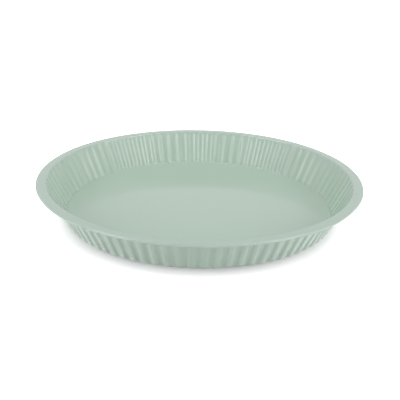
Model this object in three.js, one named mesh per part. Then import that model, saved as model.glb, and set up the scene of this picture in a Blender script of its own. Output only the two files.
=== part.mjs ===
// A shallow round cake pan with fluted sides and a lift-out base, in millimetres, +Z up.
// The origin is on the pan's axis, in the plane of the surface that the pan stands on.
// The pan is two pressed pieces: a fluted ring with a ledge round its foot, and a flat base plate on that ledge.
import * as THREE from "three";

// Driving dimensions of the ring
const RIM_HEIGHT = 31.5; // standing surface to the top of the rim
const MOUTH_DIAMETER = 280; // middle of the sheet, where the wall's line meets the rim's plane
const FOOT_DIAMETER = 250; // middle of the sheet, where the wall's line meets the ledge's plane
const RIM_WIDTH = 9; // mouth to the rim's outermost edge
const CURL_DIAMETER = 2; // edge of the rim, rolled under
const CURL_TURN = 270; // degrees
const LEDGE_WIDTH = 8; // foot to the ledge's free edge
const RING_SHEET = 0.6; // steel with its coat
const MOUTH_BEND = 2; // bend from wall to rim, at the middle of the sheet
const FOOT_BEND = 2.5; // bend from ledge to wall, at the middle of the sheet
const FLUTE_COUNT = 86;
const FLUTE_DEPTH = 2.4; // crest to valley, measured along the radius

// Driving dimensions of the base plate
const PLATE_SHEET = 0.6; // steel with its coat
const PLATE_PLAY = 0.2; // plate's edge to the start of the foot bend
const SEAT_GAP = 0.1; // plate's underside over the ledge

// Facets
const FLUTE_STEPS = 6; // round one flute
const PLAIN_STEPS = 1; // round one flute's share of a plain circle
const BEND_STEPS = 2; // along a bend
const CURL_STEPS = 6; // round the rolled edge
const PLATE_STEPS = 120; // round the plate
const PLATE_EDGE_STEPS = 2; // over each half of the plate's rounded edge

// Sizes that follow
const halfSheet = RING_SHEET / 2;
const fluteSwing = FLUTE_DEPTH / 2;
const footRadius = FOOT_DIAMETER / 2;
const mouthRadius = MOUTH_DIAMETER / 2;
const curlRadius = CURL_DIAMETER / 2;
const curlCentre = new THREE.Vector2(mouthRadius + RIM_WIDTH - curlRadius, RIM_HEIGHT - curlRadius);
const wallSlope = Math.atan2(RIM_HEIGHT - RING_SHEET, mouthRadius - footRadius);
const bendSetback = Math.tan(wallSlope / 2); // corner to bend's end, for a bend of radius 1
const footBendCentre = new THREE.Vector2(footRadius - FOOT_BEND * bendSetback, halfSheet + FOOT_BEND);
const mouthBendCentre = new THREE.Vector2(
  mouthRadius + MOUTH_BEND * bendSetback,
  RIM_HEIGHT - halfSheet - MOUTH_BEND,
);
const plateRadius = footBendCentre.x - PLATE_PLAY;

// The coat is one pale sage green inside and out.
function sageCoat(name) {
  return new THREE.MeshStandardMaterial({ name, color: 0xb7c9bd, roughness: 0.3, metalness: 0 });
}

// Points of an arc in the section's plane, both ends included.
function arc(centre, radius, from, to, steps) {
  return Array.from({ length: steps + 1 }, (_, i) => {
    const angle = from + ((to - from) * i) / steps;
    return new THREE.Vector2(centre.x + radius * Math.cos(angle), centre.y + radius * Math.sin(angle));
  });
}

// One closed row of points round the axis, swinging in and out along the radius with the flutes.
function rowOf(point, swing) {
  const count = FLUTE_COUNT * (swing > 0 ? FLUTE_STEPS : PLAIN_STEPS);
  return Array.from({ length: count }, (_, i) => {
    const turn = (2 * Math.PI * i) / count;
    const radius = point.x + swing * Math.cos(FLUTE_COUNT * turn);
    return new THREE.Vector3(radius * Math.cos(turn), radius * Math.sin(turn), point.y);
  });
}

// The rows of a bend, along which the flutes grow or fade between none and their full swing.
function bendRows(centre, radius, from, to, grows) {
  return arc(centre, radius, from, to, BEND_STEPS).map((point, i) => {
    const done = i / BEND_STEPS;
    return rowOf(point, fluteSwing * (grows ? done : 1 - done));
  });
}

// The ring's section as rows, out along the upper side and back along the under side.
function ringRows() {
  const wallNormal = Math.PI / 2 + wallSlope; // from the wall towards the pan's inside
  const down = -Math.PI / 2;
  const up = Math.PI / 2;
  const ledgeEdge = footRadius - LEDGE_WIDTH;
  const curlEnd = up - THREE.MathUtils.degToRad(CURL_TURN);
  const ledge = [new THREE.Vector2(ledgeEdge, 0), new THREE.Vector2(ledgeEdge, RING_SHEET)];
  const curlOutside = arc(curlCentre, curlRadius, up, curlEnd, CURL_STEPS);
  const curlInside = arc(curlCentre, curlRadius - RING_SHEET, curlEnd, up, CURL_STEPS);
  return [
    ...ledge.map((point) => rowOf(point, 0)),
    ...bendRows(footBendCentre, FOOT_BEND - halfSheet, down, down + wallSlope, true),
    ...bendRows(mouthBendCentre, MOUTH_BEND + halfSheet, wallNormal, up, false),
    ...[...curlOutside, ...curlInside].map((point) => rowOf(point, 0)),
    ...bendRows(mouthBendCentre, MOUTH_BEND - halfSheet, up, wallNormal, true),
    ...bendRows(footBendCentre, FOOT_BEND + halfSheet, down + wallSlope, down, false),
  ];
}

// A closed skin over rows that run round the axis, the last row joined to the first.
// Rows of different counts are zipped: the row whose next point comes first round the axis moves on.
function loft(rows) {
  const geometry = new THREE.BufferGeometry().setFromPoints(rows.flat());
  const triangles = [];
  let start = 0;
  rows.forEach((row, r) => {
    const next = rows[(r + 1) % rows.length];
    const nextStart = r + 1 < rows.length ? start + row.length : 0;
    let i = 0;
    let j = 0;
    while (i < row.length || j < next.length) {
      const here = start + (i % row.length);
      const there = nextStart + (j % next.length);
      if ((i + 1) * next.length < (j + 1) * row.length) {
        i += 1;
        triangles.push(here, there, start + (i % row.length));
      } else {
        j += 1;
        triangles.push(here, there, nextStart + (j % next.length));
      }
    }
    start += row.length;
  });
  geometry.setIndex(triangles);
  geometry.computeVertexNormals();
  return geometry;
}

// Ledge, fluted wall, flat rim and rolled edge, pressed from one sheet.
function flutedRing() {
  const ring = new THREE.Mesh(loft(ringRows()), sageCoat("ring coat"));
  ring.name = "fluted_ring";
  return ring;
}

// Flat disc with a full-round edge. It lies loose on the ledge and is pushed up to free the cake.
function basePlate() {
  const edge = PLATE_SHEET / 2;
  const section = new THREE.Path();
  section.moveTo(0, 0);
  section.lineTo(plateRadius - edge, 0);
  section.absarc(plateRadius - edge, edge, edge, -Math.PI / 2, Math.PI / 2);
  section.lineTo(0, PLATE_SHEET);
  const geometry = new THREE.LatheGeometry(section.getPoints(PLATE_EDGE_STEPS), PLATE_STEPS);
  const plate = new THREE.Mesh(geometry.rotateX(Math.PI / 2), sageCoat("base coat"));
  plate.name = "base_plate";
  plate.position.z = RING_SHEET + SEAT_GAP;
  return plate;
}

const pan = new THREE.Group();
pan.name = "fluted_cake_pan";
pan.add(flutedRing(), basePlate());

export default pan;
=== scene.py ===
"""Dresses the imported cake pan: a fluted ring of coated steel and the plate that lies loose in it."""

import logging
import math
from collections.abc import Callable
from dataclasses import dataclass
from enum import Enum
from typing import Any

import bmesh
import bpy
from mathutils import Matrix, Vector

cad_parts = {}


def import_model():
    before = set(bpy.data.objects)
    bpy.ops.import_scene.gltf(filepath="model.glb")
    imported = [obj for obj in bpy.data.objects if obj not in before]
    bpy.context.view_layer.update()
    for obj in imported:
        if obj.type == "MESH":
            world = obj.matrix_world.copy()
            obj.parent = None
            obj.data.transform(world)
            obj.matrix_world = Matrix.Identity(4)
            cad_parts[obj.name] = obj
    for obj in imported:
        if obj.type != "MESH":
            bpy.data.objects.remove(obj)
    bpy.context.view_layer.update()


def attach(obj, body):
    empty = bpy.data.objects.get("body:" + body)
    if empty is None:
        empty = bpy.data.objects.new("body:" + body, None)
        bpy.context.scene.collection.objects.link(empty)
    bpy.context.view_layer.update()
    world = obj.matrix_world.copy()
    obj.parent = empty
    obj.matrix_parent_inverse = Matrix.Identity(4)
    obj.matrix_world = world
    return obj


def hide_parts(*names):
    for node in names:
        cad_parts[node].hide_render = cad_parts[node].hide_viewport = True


LOG = logging.getLogger("cake_pan")
MM = 0.001
SAME_PLACE = 0.001 * MM  # points closer than this are level or on one circle
MERGE_REACH = 0.002 * MM  # points closer than this become one

Colour = tuple[float, float, float, float]
Inputs = dict[str | int, Any]


class Body(Enum):
    """The rigid bodies that a piece can ride on."""

    RING = "ring"
    BASE = "base"


class Slot(Enum):
    """The record's material slots."""

    RING = "ring_coat"
    BASE = "base_coat"


class Value:
    """An output of a shader tree whose arithmetic adds Math nodes."""

    def __init__(self, tree: "ShaderTree", socket: bpy.types.NodeSocket) -> None:
        """Keeps the tree and the socket."""
        self.tree = tree
        self.socket = socket

    def __add__(self, other: "Value | float") -> "Value":
        """Adds a value or a number."""
        return self.tree.math("ADD", self, other)

    def __radd__(self, other: float) -> "Value":
        """Adds this value to a number."""
        return self.tree.math("ADD", other, self)

    def __sub__(self, other: "Value | float") -> "Value":
        """Takes a value or a number away."""
        return self.tree.math("SUBTRACT", self, other)

    def __rsub__(self, other: float) -> "Value":
        """Takes this value away from a number."""
        return self.tree.math("SUBTRACT", other, self)

    def __mul__(self, other: "Value | float") -> "Value":
        """Multiplies by a value or a number."""
        return self.tree.math("MULTIPLY", self, other)

    def __rmul__(self, other: float) -> "Value":
        """Multiplies a number by this value."""
        return self.tree.math("MULTIPLY", other, self)

    def clamped(self) -> "Value":
        """Limits the value to 0 and 1."""
        return self.tree.out("ShaderNodeClamp", {}, {"Value": self})


class ShaderTree:
    """The node tree of a material or a world."""

    def __init__(self, owner: bpy.types.Material | bpy.types.World) -> None:
        """Empties the owner's tree.

        Args:
            owner: The material or world whose nodes are written.
        """
        owner.use_nodes = True
        self.nodes = owner.node_tree.nodes
        self.links = owner.node_tree.links
        self.nodes.clear()

    def node(self, kind: str, settings: dict[str, Any], inputs: Inputs) -> bpy.types.Node:
        """Adds a node.

        Args:
            kind: The node's type.
            settings: Attributes, set before the sockets.
            inputs: Numbers, colours or values for the input sockets.

        Returns:
            The new node.
        """
        made = self.nodes.new(kind)
        for name, setting in settings.items():
            setattr(made, name, setting)
        for key, given in inputs.items():
            if isinstance(given, Value):
                self.links.new(given.socket, made.inputs[key])
            else:
                made.inputs[key].default_value = given
        return made

    def out(self, kind: str, settings: dict[str, Any], inputs: Inputs, output: str | int = 0) -> Value:
        """Adds a node and returns one of its outputs.

        Args:
            kind: The node's type.
            settings: Attributes, set before the sockets.
            inputs: Numbers, colours or values for the input sockets.
            output: The output's name or number.

        Returns:
            The output.
        """
        return Value(self, self.node(kind, settings, inputs).outputs[output])

    def math(self, operation: str, *operands: Value | float) -> Value:
        """Adds a Math node.

        Args:
            operation: The node's operation.
            operands: Values or numbers, in the sockets' order.

        Returns:
            The result.
        """
        return self.out("ShaderNodeMath", {"operation": operation}, dict(enumerate(operands)))

    def mix_colours(self, share: Value, first: Value | Colour, second: Value | Colour) -> Value:
        """Mixes two colours.

        Args:
            share: How much of the second colour shows.
            first: A colour or a value.
            second: A colour or a value.

        Returns:
            The mixed colour.
        """
        # A Mix node names its sockets alike for every type, so those for colours go by number.
        inputs = {0: share, 6: first, 7: second}
        return self.out("ShaderNodeMix", {"data_type": "RGBA"}, inputs, 2)

    def ramp(self, value: Value, start: float, stop: float) -> Value:
        """Maps a value to a share.

        Args:
            value: What is mapped.
            start: The value at which the share is 0.
            stop: The value at which the share is 1.

        Returns:
            The share, from 0 to 1.
        """
        inputs = {"Value": value, "From Min": start, "From Max": stop}
        return self.out("ShaderNodeMapRange", {}, inputs, "Result")

    def noise(self, place: Value, size: float, detail: float) -> Value:
        """Adds an even noise.

        Args:
            place: Object coordinates.
            size: About the size of a blotch, in metres.
            detail: How many finer layers it has.

        Returns:
            The noise, about 0.5.
        """
        inputs = {"Vector": place, "Scale": 1 / size, "Detail": detail}
        return self.out("ShaderNodeTexNoise", {}, inputs, "Fac")


def linear(red: int, green: int, blue: int) -> Colour:
    """Turns a screen colour into the linear colour that a socket takes.

    Args:
        red: 0 to 255.
        green: 0 to 255.
        blue: 0 to 255.

    Returns:
        Linear red, green, blue and an alpha of 1.
    """
    shares = (channel / 255 for channel in (red, green, blue))
    r, g, b = (c / 12.92 if c <= 0.04045 else ((c + 0.055) / 1.055) ** 2.4 for c in shares)
    return (r, g, b, 1.0)


@dataclass(frozen=True)
class SageCoat:
    """The semi-gloss sage green coat that covers the steel all over."""

    name: str
    full_colour: Colour = linear(173, 193, 179)
    thin_colour: Colour = linear(177, 196, 183)
    roughness: float = 0.12
    roughness_swing: float = 0.03
    ior: float = 1.5
    cloud_size: float = 60 * MM
    cloud_detail: float = 3.0
    peel_size: float = 1.6 * MM
    peel_detail: float = 2.0
    peel_depth: float = 0.004 * MM

    def material(self) -> bpy.types.Material:
        """Writes the coat's nodes.

        Returns:
            The material.
        """
        made = bpy.data.materials.new(self.name)
        tree = ShaderTree(made)
        place = tree.out("ShaderNodeTexCoord", {}, {}, "Object")
        colour = self.tone(tree, place)
        peel = tree.noise(place, self.peel_size, self.peel_detail)
        bump = {"Strength": 1.0, "Distance": self.peel_depth, "Height": peel}
        relief = tree.out("ShaderNodeBump", {}, bump, "Normal")
        gloss = self.roughness + (peel - 0.5) * self.roughness_swing
        look = {"Base Color": colour, "Roughness": gloss, "IOR": self.ior, "Normal": relief}
        shader = tree.out("ShaderNodeBsdfPrincipled", {}, look, "BSDF")
        tree.node("ShaderNodeOutputMaterial", {}, {"Surface": shader})
        return made

    def thinness(self, tree: ShaderTree, place: Value) -> Value:
        """Says where the coat is thin: here and there."""
        return tree.noise(place, self.cloud_size, self.cloud_detail)

    def tone(self, tree: ShaderTree, place: Value) -> Value:
        """Mixes the coat's colour from its full and its thin tone.

        Args:
            tree: The material's tree.
            place: Object coordinates.

        Returns:
            The colour.
        """
        share = self.thinness(tree, place).clamped()
        return tree.mix_colours(share, self.full_colour, self.thin_colour)


@dataclass(frozen=True, kw_only=True)
class RingCoat(SageCoat):
    """The coat on the ring, thinner on the flutes' crests, with painted shade on the flat rim."""

    flute_count: int
    crest_share: float = 0.5
    # Painted shade: the rim and its rolled edge are drawn darker and a little bluer than the wall,
    # coming in between these two heights.
    painted_rim_shade: Colour = linear(173, 191, 180)
    rim_shade_from: float = 29.4 * MM
    rim_shade_to: float = 30.8 * MM

    def thinness(self, tree: ShaderTree, place: Value) -> Value:
        """Says where the coat is thin: here and there, and on the crests.

        Args:
            tree: The material's tree.
            place: Object coordinates.

        Returns:
            1 where it is thinnest.
        """
        parts = tree.node("ShaderNodeSeparateXYZ", {}, {"Vector": place})
        x, y = (Value(tree, parts.outputs[axis]) for axis in "XY")
        turn = tree.math("ARCTAN2", y, x)
        wave = tree.math("COSINE", turn * float(self.flute_count))
        crests = wave * 0.5 + 0.5
        clouds = super().thinness(tree, place)
        return clouds * (1 - self.crest_share) + crests * self.crest_share

    def tone(self, tree: ShaderTree, place: Value) -> Value:
        """Mixes the wall's tone with a painted shade, darker and a little bluer, on the rim and its
        rolled edge.

        Args:
            tree: The material's tree.
            place: Object coordinates.

        Returns:
            The colour.
        """
        height = tree.out("ShaderNodeSeparateXYZ", {}, {"Vector": place}, "Z")
        # Painted shade on the rim and its rolled edge, growing with height.
        rim_shade_share = tree.ramp(height, self.rim_shade_from, self.rim_shade_to)
        return tree.mix_colours(rim_shade_share, super().tone(tree, place), self.painted_rim_shade)


class Bench:
    """Modelling steps that several pieces share."""

    @staticmethod
    def clear() -> None:
        """Leaves edit mode and deselects everything."""
        if bpy.context.object and bpy.context.object.mode != "OBJECT":
            bpy.ops.object.mode_set(mode="OBJECT")
        bpy.ops.object.select_all(action="DESELECT")

    @staticmethod
    def pick(piece: bpy.types.Object) -> None:
        """Makes a piece the only selected and active object.

        Args:
            piece: The object.
        """
        Bench.clear()
        piece.select_set(True)
        bpy.context.view_layer.objects.active = piece

    @staticmethod
    def apply(piece: bpy.types.Object, kind: str, settings: dict[str, Any]) -> None:
        """Adds a modifier and applies it.

        Args:
            piece: The object.
            kind: The modifier's type.
            settings: The modifier's attributes.
        """
        Bench.pick(piece)
        added = piece.modifiers.new(kind.lower(), kind)
        for name, setting in settings.items():
            setattr(added, name, setting)
        bpy.ops.object.modifier_apply(modifier=added.name)

    @staticmethod
    def select_edges(piece: bpy.types.Object, wanted: Callable[[Vector, Vector], bool]) -> None:
        """Selects edges by their ends, in edit mode.

        Args:
            piece: The object being edited.
            wanted: Told the two ends, says whether the edge is wanted.
        """
        bpy.ops.mesh.select_mode(type="EDGE")
        bpy.ops.mesh.select_all(action="DESELECT")
        mesh = bmesh.from_edit_mesh(piece.data)
        for edge in mesh.edges:
            edge.select_set(wanted(edge.verts[0].co, edge.verts[1].co))
        bmesh.update_edit_mesh(piece.data)

    @staticmethod
    def close_up(piece: bpy.types.Object) -> None:
        """Merges doubles and turns all faces outwards.

        Args:
            piece: The object.
        """
        Bench.pick(piece)
        bpy.ops.object.mode_set(mode="EDIT")
        bpy.ops.mesh.select_all(action="SELECT")
        bpy.ops.mesh.remove_doubles(threshold=MERGE_REACH)
        bpy.ops.mesh.normals_make_consistent(inside=False)
        bpy.ops.object.mode_set(mode="OBJECT")


@dataclass(frozen=True)
class SectionPoint:
    """A point of the ring's section, at the middle of the sheet."""

    radius: float
    height: float
    swell: float


def eased(share: float) -> float:
    """Eases a share from 0 to 1 in and out."""
    return share * share * (3 - 2 * share)


def bend(centre: Vector, radius: float, start: float, turn: float, steps: int) -> list[Vector]:
    """Draws a bend in the section's plane.

    Args:
        centre: The bend's centre.
        radius: Its radius.
        start: The angle of its first point.
        turn: The angle that it turns through.
        steps: How many straight steps it has.

    Returns:
        Its points, both ends included.
    """
    angles = (start + turn * step / steps for step in range(steps + 1))
    return [centre + radius * Vector((math.cos(a), math.sin(a))) for a in angles]


@dataclass
class FlutedRing:
    """The pressed ring: ledge, fluted wall, flat rim and rolled edge."""

    rim_height: float = 31.5 * MM
    mouth_radius: float = 140 * MM
    foot_radius: float = 125 * MM
    rim_width: float = 9 * MM
    curl_radius: float = 1.0 * MM
    curl_turn: float = 270.0
    ledge_width: float = 8 * MM
    sheet: float = 0.6 * MM
    mouth_bend: float = 2 * MM
    foot_bend: float = 2.5 * MM
    flute_count: int = 86
    flute_swing: float = 0.6 * MM  # half of a flute's depth, along the radius
    flute_power: float = 3.0  # over 1 for blunt crests and steep flanks
    plain_length: float = 1 * MM  # along the sheet, from the rim's inner end to the flutes' start
    fade_length: float = 2.2 * MM  # from there to their full depth
    columns_per_flute: int = 14
    foot_steps: int = 6
    wall_steps: int = 5
    mouth_steps: int = 6
    curl_steps: int = 11
    edge_round: float = 0.2 * MM
    edge_steps: int = 3
    edge_reach: float = 0.6  # of the sheet's thickness, a bit over the half where its corners lie
    cast_size: float = 10.0

    def section(self) -> list[SectionPoint]:
        """Works out the section from the ledge's free edge to the end of the curl.

        Returns:
            The section's points in order.
        """
        low = self.sheet / 2
        high = self.rim_height - self.sheet / 2
        slope = math.atan2(high - low, self.mouth_radius - self.foot_radius)
        setback = math.tan(slope / 2)
        foot = Vector((self.foot_radius - self.foot_bend * setback, low + self.foot_bend))
        mouth = Vector((self.mouth_radius + self.mouth_bend * setback, high - self.mouth_bend))
        rim_edge = self.mouth_radius + self.rim_width
        curl = Vector((rim_edge - self.curl_radius, self.rim_height - self.curl_radius))
        up = math.pi / 2

        ledge_edge = self.foot_radius - self.ledge_width
        ledge = [Vector((ledge_edge, low)), Vector(((ledge_edge + foot.x) / 2, low))]
        foot_bend = bend(foot, self.foot_bend, -up, slope, self.foot_steps)
        mouth_bend = bend(mouth, self.mouth_bend, up + slope, -slope, self.mouth_steps)
        rolled = bend(curl, self.curl_radius - low, up, -math.radians(self.curl_turn), self.curl_steps)
        # The wall's rows lie closer together near its two bends.
        turns = (math.pi * step / self.wall_steps for step in range(1, self.wall_steps))
        wall = [foot_bend[-1].lerp(mouth_bend[0], (1 - math.cos(turn)) / 2) for turn in turns]

        length = self.mouth_bend * slope
        grown = [eased(step / self.foot_steps) for step in range(self.foot_steps + 1)]
        full = [self.faded(length + (place - mouth_bend[0]).length) for place in wall]
        shares = (step / self.mouth_steps for step in range(self.mouth_steps + 1))
        fading = [self.faded(length * (1 - share)) for share in shares]
        places = ledge + foot_bend + wall + mouth_bend + rolled
        swells = [0.0] * len(ledge) + grown + full + fading + [0.0] * len(rolled)
        return [SectionPoint(place.x, place.y, swell) for place, swell in zip(places, swells)]

    def faded(self, length: float) -> float:
        """Says how far the flutes swell at a length along the sheet from the rim's inner end."""
        return eased(min(1.0, max(0.0, length - self.plain_length) / self.fade_length))

    def sheet_rows(self, points: list[SectionPoint]) -> bpy.types.Object:
        """Draws the sheet's middle from a circle, extruded from row to row.

        Args:
            points: The section.

        Returns:
            An open surface, drawn in by the flutes' swing where it is fluted.
        """
        Bench.clear()
        radii = [point.radius - self.flute_swing * point.swell for point in points]
        bpy.ops.mesh.primitive_circle_add(
            vertices=self.flute_count * self.columns_per_flute, radius=radii[0], enter_editmode=True
        )
        piece = bpy.context.object
        bpy.ops.transform.translate(value=(0, 0, points[0].height))
        for row in range(1, len(points)):
            rise = points[row].height - points[row - 1].height
            widen = radii[row] / radii[row - 1]
            bpy.ops.mesh.extrude_edges_move(TRANSFORM_OT_translate={"value": (0, 0, rise)})
            bpy.ops.transform.resize(value=(widen, widen, 1), center_override=(0, 0, 0))
        bpy.ops.object.mode_set(mode="OBJECT")
        return piece

    def swell_flutes(self, piece: bpy.types.Object, points: list[SectionPoint]) -> None:
        """Pushes the flutes' crests out along the radius.

        Args:
            piece: The open surface.
            points: The section that it was drawn from.
        """
        columns = self.flute_count * self.columns_per_flute
        group = piece.vertex_groups.new(name="flutes")
        for vertex in piece.data.vertices:
            swell = points[vertex.index // columns].swell
            turn = math.atan2(vertex.co.y, vertex.co.x)
            zigzag = 2 * math.asin(math.cos(self.flute_count * turn)) / math.pi
            height = 1 - (1 - abs(zigzag)) ** self.flute_power
            wave = math.copysign(height, zigzag)
            weight = swell * (0.5 + 0.5 * wave)
            group.add([vertex.index], weight, "REPLACE")
        # A cylinder far outside draws every point straight out, by a share of the way to it.
        wall_radius = (self.mouth_radius + self.foot_radius) / 2
        settings = {
            "cast_type": "CYLINDER",
            "use_z": False,
            "use_radius_as_size": False,
            "factor": 2 * self.flute_swing / (self.cast_size - wall_radius),
            "size": self.cast_size,
            "vertex_group": "flutes",
        }
        Bench.apply(piece, "CAST", settings)
        piece.vertex_groups.clear()

    def round_free_edges(self, piece: bpy.types.Object, points: list[SectionPoint]) -> None:
        """Rounds the sheet's two free edges, on the ledge and in the curl.

        Args:
            piece: The closed ring.
            points: The section that it was drawn from.
        """
        ends = (points[0], points[-1])
        near = self.edge_reach * self.sheet

        def free(first: Vector, second: Vector) -> bool:
            """Says whether an edge runs round one of the free ends.

            Args:
                first: One end of the edge.
                second: The other end.

            Returns:
                True for an edge to be rounded.
            """
            radius = math.hypot(first.x, first.y)
            if abs(first.z - second.z) > SAME_PLACE:
                return False
            if abs(radius - math.hypot(second.x, second.y)) > SAME_PLACE:
                return False
            away = (math.hypot(radius - end.radius, first.z - end.height) for end in ends)
            return min(away) < near

        Bench.pick(piece)
        bpy.ops.object.mode_set(mode="EDIT")
        Bench.select_edges(piece, free)
        bpy.ops.mesh.bevel(offset=self.edge_round, segments=self.edge_steps, affect="EDGES")
        bpy.ops.object.mode_set(mode="OBJECT")

    def build(self) -> bpy.types.Object:
        """Models the ring.

        Returns:
            The finished ring, on its body.
        """
        points = self.section()
        piece = self.sheet_rows(points)
        piece.name = "ring_of_flutes"
        self.swell_flutes(piece, points)
        Bench.close_up(piece)
        Bench.apply(piece, "SOLIDIFY", {"thickness": self.sheet, "offset": 0.0, "use_even_offset": True})
        self.round_free_edges(piece, points)
        Bench.close_up(piece)
        bpy.ops.object.shade_smooth()
        self.dress(piece)
        return piece

    def dress(self, piece: bpy.types.Object) -> None:
        """Coats the ring and hangs it on its body.

        Args:
            piece: The finished ring.
        """
        coat = RingCoat("ring_coat", flute_count=self.flute_count)
        piece.data.materials.clear()
        piece.data.materials.append(coat.material())
        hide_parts("fluted_ring")
        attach(piece, Body.RING.value)


@dataclass
class BasePlate:
    """The flat disc that lies loose on the ring's ledge."""

    radius: float = 123.235 * MM
    underside: float = 0.7 * MM
    sheet: float = 0.6 * MM
    edge_points: int = 344
    edge_round: float = 0.48  # of the sheet's thickness, just short of a half
    edge_steps: int = 4
    edge_reach: float = 0.999  # of the radius, beyond which only the edge lies
    smooth_angle: float = 40.0
    # Painted light: the plate is drawn a shade lighter than the ring, to make up for the light that the
    # walls keep off the pan's floor.
    full_colour: Colour = linear(175, 195, 181)
    thin_colour: Colour = linear(178, 197, 184)

    def build(self) -> bpy.types.Object:
        """Models the plate.

        Returns:
            The finished plate, on its body.
        """
        Bench.clear()
        bpy.ops.mesh.primitive_circle_add(
            vertices=self.edge_points, radius=self.radius, fill_type="NGON", enter_editmode=True
        )
        piece = bpy.context.object
        piece.name = "plate_of_base"
        bpy.ops.transform.translate(value=(0, 0, self.underside))
        bpy.ops.mesh.extrude_region_move(TRANSFORM_OT_translate={"value": (0, 0, self.sheet)})
        inside = self.radius * self.edge_reach

        def outer(first: Vector, second: Vector) -> bool:
            """Says whether an edge runs round the plate's rim."""
            return abs(first.z - second.z) < SAME_PLACE and math.hypot(first.x, first.y) > inside

        Bench.select_edges(piece, outer)
        bpy.ops.mesh.bevel(offset=self.edge_round * self.sheet, segments=self.edge_steps, affect="EDGES")
        bpy.ops.object.mode_set(mode="OBJECT")
        Bench.close_up(piece)
        bpy.ops.object.shade_smooth_by_angle(angle=math.radians(self.smooth_angle))
        self.dress(piece)
        return piece

    def dress(self, piece: bpy.types.Object) -> None:
        """Coats the plate and hangs it on its body.

        Args:
            piece: The finished plate.
        """
        coat = SageCoat("base_coat", full_colour=self.full_colour, thin_colour=self.thin_colour)
        piece.data.materials.clear()
        piece.data.materials.append(coat.material())
        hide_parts("base_plate")
        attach(piece, Body.BASE.value)


@dataclass
class PhotoCamera:
    """The camera, at the photograph's angle."""

    distance: float = 570 * MM
    elevation: float = 21.51
    roll: float = 1.26
    target_height: float = 15.65 * MM
    lens: float = 54.29
    sensor: float = 36.0
    shift_x: float = 0.0012
    shift_y: float = -0.0268
    nearest: float = 0.01
    farthest: float = 100.0

    def build(self) -> None:
        """Adds the camera and makes it the scene's own."""
        data = bpy.data.cameras.new("camera")
        data.sensor_width = self.sensor
        data.lens = self.lens
        data.shift_x = self.shift_x
        data.shift_y = self.shift_y
        data.clip_start = self.nearest
        data.clip_end = self.farthest
        eye = bpy.data.objects.new("camera", data)
        bpy.context.collection.objects.link(eye)
        tilt = Matrix.Rotation(math.radians(90 - self.elevation), 4, "X")
        lean = Matrix.Rotation(math.radians(self.roll), 4, "Z")
        back = tilt @ Vector((0, 0, self.distance))
        eye.matrix_world = Matrix.Translation(Vector((0, 0, self.target_height)) + back) @ tilt @ lean
        bpy.context.scene.camera = eye


@dataclass(frozen=True)
class SoftBox:
    """A large soft lamp that faces the pan."""

    name: str
    place: tuple[float, float, float]
    width: float
    height: float
    watts: float

    def build(self) -> None:
        """Adds the lamp."""
        data = bpy.data.lights.new(self.name, "AREA")
        data.shape = "RECTANGLE"
        data.size = self.width
        data.size_y = self.height
        data.energy = self.watts
        lamp = bpy.data.objects.new(self.name, data)
        bpy.context.collection.objects.link(lamp)
        lamp.location = self.place
        lamp.rotation_euler = Vector(self.place).to_track_quat("Z", "Y").to_euler()


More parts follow.
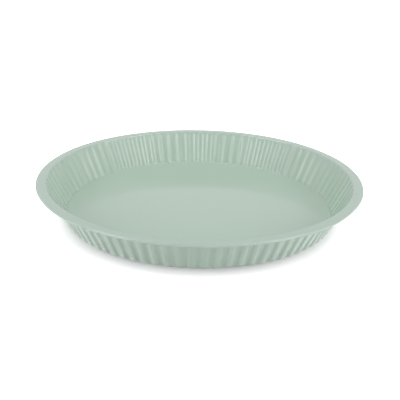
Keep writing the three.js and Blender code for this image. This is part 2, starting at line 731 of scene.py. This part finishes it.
@dataclass
class Studio:
    """The pale floor, the white room and the lamps."""

    floor_half: float = 12.0
    room_fill: float = 0.09  # the room's strength as a light
    room_shine: float = 0.87  # its strength where it is reflected
    floor_colour: Colour = (0.88, 0.88, 0.88, 1.0)
    shadow_colour: Colour = (0.96, 0.905, 0.95, 1.0)  # the floor's colour to the camera, a pink that paints the pan's shadow grey instead of green
    floor_shine: float = 0.8  # what the floor adds where it is reflected
    # The painted fade's centre, set forward so that the shadow reaches further towards the camera.
    shadow_centre: tuple[float, float, float] = (0.0, -12 * MM, 0.0)
    shadow_from: float = 115.5 * MM  # where the shadow's full strength ends
    shadow_to: float = 141 * MM  # where the floor is all white
    lamps: tuple[SoftBox, ...] = (
        SoftBox("left", (-0.987, -0.691, 0.487), 0.5, 0.9, 6.2),
        SoftBox("right", (0.987, -0.691, 0.487), 0.5, 0.9, 6.7),
        SoftBox("front", (0.0, -1.126, 0.65), 0.8, 0.3, 1.0),
        SoftBox("side_left", (-1.187, -0.209, 0.487), 0.3, 0.9, 1.8),
        SoftBox("side_right", (1.187, -0.209, 0.487), 0.3, 0.9, 2.2),
        SoftBox("back_left", (-1.044, 0.603, 0.487), 0.3, 0.9, 0.6),
        SoftBox("back_right", (1.044, 0.603, 0.487), 0.3, 0.9, 0.8),
        SoftBox("top_left", (-0.53, 0.31, 1.15), 0.6, 0.5, 5.1),
        SoftBox("top_right", (0.53, 0.31, 1.15), 0.6, 0.5, 4.9),
    )

    def build(self) -> None:
        """Adds the floor, the room and the lamps."""
        self.floor()
        self.room()
        for lamp in self.lamps:
            lamp.build()
        bpy.context.scene.view_settings.view_transform = "Standard"

    def rays(self, tree: ShaderTree) -> tuple[Value, Value]:
        """Tells the rays apart that meet the white of the floor and the room.

        Args:
            tree: The floor's or the room's tree.

        Returns:
            1 for camera rays, and 1 for reflected and transmitted ones.
        """
        path = tree.node("ShaderNodeLightPath", {}, {})
        names = ("Is Camera Ray", "Is Glossy Ray", "Is Transmission Ray")
        camera, glossy, through = (Value(tree, path.outputs[name]) for name in names)
        return camera, (glossy + through).clamped()

    def floor(self) -> None:
        """Lays the floor, which shows white but keeps the pan's shadow."""
        Bench.clear()
        bpy.ops.mesh.primitive_plane_add(size=2 * self.floor_half)
        slab = bpy.context.object
        slab.name = "floor"
        paint = bpy.data.materials.new("floor")
        tree = ShaderTree(paint)
        camera, mirrored = self.rays(tree)
        colour = tree.mix_colours(camera, self.floor_colour, self.shadow_colour)
        matt = tree.out("ShaderNodeBsdfDiffuse", {}, {"Color": colour})
        strength = camera * self.lift(tree) + mirrored * self.floor_shine
        lift = tree.out("ShaderNodeEmission", {}, {"Strength": strength})
        both = tree.out("ShaderNodeAddShader", {}, {0: matt, 1: lift})
        tree.node("ShaderNodeOutputMaterial", {}, {"Surface": both})
        slab.data.materials.append(paint)

    def lift(self, tree: ShaderTree) -> Value:
        """Works out how much the floor is lifted to white, less so close to the pan's foot: a painted
        fade that sets how far the pan's real shadow reaches.

        Args:
            tree: The floor's tree.

        Returns:
            The strength of the lift.
        """
        place = tree.out("ShaderNodeTexCoord", {}, {}, "Object")
        ends = {0: place, 1: self.shadow_centre}
        away = tree.out("ShaderNodeVectorMath", {"operation": "DISTANCE"}, ends, "Value")
        return tree.ramp(away, self.shadow_from, self.shadow_to)

    def room(self) -> None:
        """Makes the world white where it is seen, pale where it is reflected, and dim as a light."""
        world = bpy.data.worlds.new("room")
        bpy.context.scene.world = world
        tree = ShaderTree(world)
        camera, mirrored = self.rays(tree)
        seen = camera * (1 - self.room_fill)
        shine = mirrored * (self.room_shine - self.room_fill)
        strength = seen + shine + self.room_fill
        light = tree.out("ShaderNodeBackground", {}, {"Color": (1, 1, 1, 1), "Strength": strength})
        tree.node("ShaderNodeOutputWorld", {}, {"Surface": light})


def main() -> None:
    """Loads the frame and builds the pan, the studio and the camera."""
    logging.basicConfig(level=logging.INFO, format="%(name)s: %(message)s")
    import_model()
    PhotoCamera().build()
    Studio().build()
    for part in (FlutedRing(), BasePlate()):
        piece = part.build()
        LOG.info("%s: %d faces", piece.name, len(piece.data.polygons))


if __name__ == "__main__":
    main()
